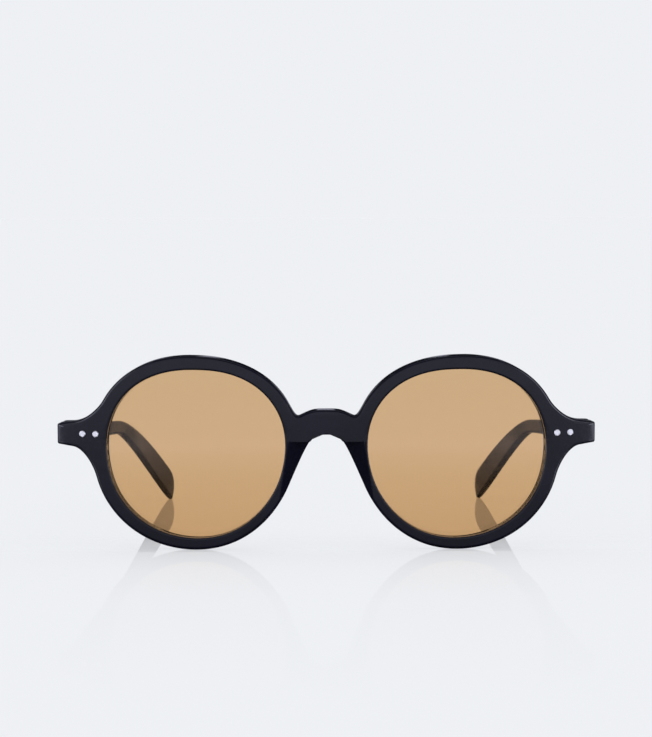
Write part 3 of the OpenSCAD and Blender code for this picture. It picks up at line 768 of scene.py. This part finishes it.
# The set: a pale table, soft boxes and the camera

studio = {
    "pale": "#eef0f4",
    "tableSize": 80.0,
    # How much the table mirrors, by the distance behind the front of the glasses in metres
    "mirror": [(-0.25, 0.0), (-0.1, 0.03), (-0.042, 0.066), (-0.001, 0.12), (0.001, 0.22),
               (0.016, 0.3), (0.05, 0.5)],
    "fill": 0.75,           # how far the table shows its own colour, which softens its shadows
    "worldLight": 1.0, "cardTint": "#e9ebff",
    # What gloss reflects, by the sine of the height it looks at: dark cards with pale gaps
    "cards": [(-1.0, 0.03), (-0.32, 0.03), (-0.262, 0.33), (-0.232, 0.47), (-0.2, 0.8), (-0.17, 0.64),
              (0.13, 0.6), (0.165, 0.04), (0.8, 0.04), (0.9, 0.5), (1.0, 0.9)],
    # The cards are turned down or up by how far aside gloss looks, behind the glasses and before
    # them, where a bright one stands at each side
    "backdrop": [(0.0, 0.2857), (0.45, 0.2857), (0.6, 1.0), (1.0, 1.0)],
    "sideCards": [(0.0, 1.0), (0.51, 1.0), (0.54, 11.0), (0.65, 11.0), (0.68, 1.0), (1.0, 1.0)],
    "change": 0.1,          # how gradually the one gives way to the other
    # A small card at the middle, both behind and before, for the top of the bridge to show:
    # direction, half size with its depth left open, fading and level
    "glint": {"toward": (0.0, 0.0, 0.2215), "half": (0.035, 9.0, 0.016), "fades": (1.0, 0.6), "level": 0.9},
    "aim": (0, -0.05, 0.02),
}
# The camera, in metres and degrees, with its focal length in the photo's pixels
view = {
    "place": (-0.0035, -0.876, 0.09), "downward": 2.962, "toTheRight": 0.2464, "roll": -0.1744,
    "focalPixels": 3028.3, "foremost": -0.076,
    "photoHeight": 737, "sensor": 36.0,
}


def paleTable():
    # A polished white laminate table that runs on past the view and mirrors the rims faintly.
    # Gloss sees past it, so that the acetate reflects the studio's cards instead, but what is
    # seen through a lens keeps it.
    material, tree = newMaterial("polishedLaminate")
    pale = linearColour(studio["pale"])
    place = addNode(tree, "ShaderNodeTexCoord").outputs["Object"]
    split = addNode(tree, "ShaderNodeSeparateXYZ", inputs={"Vector": place})
    first, last = studio["mirror"][0][0], studio["mirror"][-1][0]
    behind = addNode(tree, "ShaderNodeMapRange", inputs={
        "Value": split.outputs["Y"],
        "From Min": view["foremost"] + first, "From Max": view["foremost"] + last})
    fade = colourRamp(tree, behind.outputs["Result"], [
        ((place - first) / (last - first), [share] * 3 + [1.0]) for place, share in studio["mirror"]])
    matt = addNode(tree, "ShaderNodeBsdfDiffuse", inputs={"Color": pale})
    own = addNode(tree, "ShaderNodeEmission", inputs={"Color": pale})
    rays = addNode(tree, "ShaderNodeLightPath")
    seen = addNode(tree, "ShaderNodeMath", {"operation": "MAXIMUM"}, {
        0: rays.outputs["Is Camera Ray"], 1: rays.outputs["Is Transmission Ray"]})
    filled = addNode(tree, "ShaderNodeMath", {"operation": "MULTIPLY"}, {
        0: seen.outputs["Value"], 1: studio["fill"]})
    body = addNode(tree, "ShaderNodeMixShader", inputs={
        0: filled.outputs["Value"], 1: matt.outputs["BSDF"], 2: own.outputs["Emission"]})
    mirror = addNode(tree, "ShaderNodeBsdfGlossy", inputs={
        "Roughness": 0.0, "Color": linearColour("#ffffff")})
    top = addNode(tree, "ShaderNodeMixShader", inputs={
        0: fade, 1: body.outputs["Shader"], 2: mirror.outputs["BSDF"]})
    gone = addNode(tree, "ShaderNodeBsdfTransparent")
    mirrored = addNode(tree, "ShaderNodeMath", {"operation": "SUBTRACT", "use_clamp": True}, {
        0: rays.outputs["Is Glossy Ray"], 1: rays.outputs["Is Transmission Ray"]})
    whole = addNode(tree, "ShaderNodeMixShader", inputs={
        0: mirrored.outputs["Value"], 1: top.outputs["Shader"], 2: gone.outputs["BSDF"]})
    addNode(tree, "ShaderNodeOutputMaterial", inputs={"Surface": whole.outputs["Shader"]})
    bm = bmesh.new()
    bmesh.ops.create_grid(bm, x_segments=2, y_segments=2, size=studio["tableSize"] / 2)
    thing = objectOf(bm, "paleTable")
    thing.data.materials.append(material)


def levelRamp(tree, value, stops):
    # A ramp of plain levels, which may go past one
    most = max(level for _, level in stops)
    ramp = colourRamp(tree, value, [(place, [level / most] * 3 + [1.0]) for place, level in stops])
    whole = addNode(tree, "ShaderNodeMath", {"operation": "MULTIPLY"}, {0: ramp, 1: most})
    return whole.outputs["Value"]


def studioWorld():
    # Plain pale for the camera, through the lenses and in the table's mirror, white as a light,
    # and cards for what gloss reflects
    world = bpy.data.worlds.new("studioWorld")
    bpy.context.scene.world = world
    world.use_nodes = True
    tree = world.node_tree
    tree.nodes.clear()
    pale = linearColour(studio["pale"])
    direction = addNode(tree, "ShaderNodeTexCoord").outputs["Generated"]
    split = addNode(tree, "ShaderNodeSeparateXYZ", inputs={"Vector": direction})
    share = addNode(tree, "ShaderNodeMapRange", inputs={
        "Value": split.outputs["Z"], "From Min": -1.0, "From Max": 1.0})
    cards = levelRamp(tree, share.outputs["Result"], [
        ((height + 1) / 2, level) for height, level in studio["cards"]])
    aside = addNode(tree, "ShaderNodeMath", {"operation": "ABSOLUTE"}, {0: split.outputs["X"]})
    backdrop = levelRamp(tree, aside.outputs["Value"], studio["backdrop"])
    sides = levelRamp(tree, aside.outputs["Value"], studio["sideCards"])
    toBack = addNode(tree, "ShaderNodeMapRange", inputs={
        "Value": split.outputs["Y"], "From Min": -studio["change"], "From Max": studio["change"]})
    gain = addNode(tree, "ShaderNodeMix", {"data_type": "FLOAT"}, {
        "Factor": toBack.outputs["Result"], 2: sides, 3: backdrop})
    glint = studio["glint"]
    apart = addNode(tree, "ShaderNodeVectorMath", {"operation": "SUBTRACT"}, {
        0: direction, 1: glint["toward"]})
    scaledApart = addNode(tree, "ShaderNodeVectorMath", {"operation": "DIVIDE"}, {
        0: apart.outputs["Vector"], 1: glint["half"]})
    off = addNode(tree, "ShaderNodeVectorMath", {"operation": "LENGTH"}, {0: scaledApart.outputs["Vector"]})
    spark = addNode(tree, "ShaderNodeMapRange", inputs={
        "Value": off.outputs["Value"], "From Min": glint["fades"][0], "From Max": glint["fades"][1],
        "To Max": glint["level"]})
    bright = addNode(tree, "ShaderNodeMath", {"operation": "MULTIPLY_ADD"}, {
        0: cards, 1: gain.outputs[0], 2: spark.outputs["Result"]})
    rays = addNode(tree, "ShaderNodeLightPath")
    flat = addNode(tree, "ShaderNodeBackground", inputs={"Color": pale, "Strength": 1.0})
    light = addNode(tree, "ShaderNodeBackground", inputs={
        "Color": linearColour("#ffffff"), "Strength": studio["worldLight"]})
    gloss = addNode(tree, "ShaderNodeBackground", inputs={
        "Color": linearColour(studio["cardTint"]), "Strength": bright.outputs["Value"]})
    lit = addNode(tree, "ShaderNodeMixShader", inputs={
        0: rays.outputs["Is Glossy Ray"], 1: light.outputs["Background"], 2: gloss.outputs["Background"]})
    seen = addNode(tree, "ShaderNodeMath", {"operation": "MAXIMUM"}, {
        0: rays.outputs["Is Camera Ray"], 1: rays.outputs["Is Transmission Ray"]})
    plain = addNode(tree, "ShaderNodeMath", {"operation": "MAXIMUM"}, {
        0: seen.outputs["Value"], 1: rays.outputs["Is Singular Ray"]})
    whole = addNode(tree, "ShaderNodeMixShader", inputs={
        0: plain.outputs["Value"], 1: lit.outputs["Shader"], 2: flat.outputs["Background"]})
    addNode(tree, "ShaderNodeOutputWorld", inputs={"Surface": whole.outputs["Shader"]})


softBoxes = {
    # Place and size in metres and power in watts; all are aimed at the front
    "overhead": {"place": (0.0, -0.1, 0.9), "size": (0.9, 0.6), "power": 0.12},
    "leftSide": {"place": (-0.8, -0.4, 0.5), "size": (0.5, 0.5), "power": 0.05},
    "rightSide": {"place": (0.8, -0.4, 0.5), "size": (0.5, 0.5), "power": 0.05},
}


def hangSoftBoxes():
    for name, box in softBoxes.items():
        lamp = bpy.data.lights.new(name, "AREA")
        lamp.shape = "RECTANGLE"
        lamp.size, lamp.size_y = box["size"]
        lamp.energy = box["power"]
        thing = bpy.data.objects.new(name, lamp)
        thing.location = box["place"]
        # Otherwise the table mirrors the box itself as a pale patch
        thing.visible_glossy = False
        aim = Vector(studio["aim"]) - thing.location
        thing.rotation_euler = aim.to_track_quat("-Z", "Y").to_euler()
        bpy.context.scene.collection.objects.link(thing)


def setCamera():
    lensData = bpy.data.cameras.new("camera")
    lensData.sensor_width = view["sensor"]
    lensData.lens = view["sensor"] * view["focalPixels"] / view["photoHeight"]
    camera = bpy.data.objects.new("camera", lensData)
    camera.location = view["place"]
    turn = (Matrix.Rotation(math.radians(-view["toTheRight"]), 3, "Z")
            @ Matrix.Rotation(math.radians(90 - view["downward"]), 3, "X")
            @ Matrix.Rotation(math.radians(view["roll"]), 3, "Z"))
    camera.rotation_euler = turn.to_euler()
    bpy.context.scene.collection.objects.link(camera)
    bpy.context.scene.camera = camera


paleTable()
studioWorld()
hangSoftBoxes()
setCamera()
bpy.context.scene.view_settings.view_transform = "Standard"
print("scene: table, lights and camera")
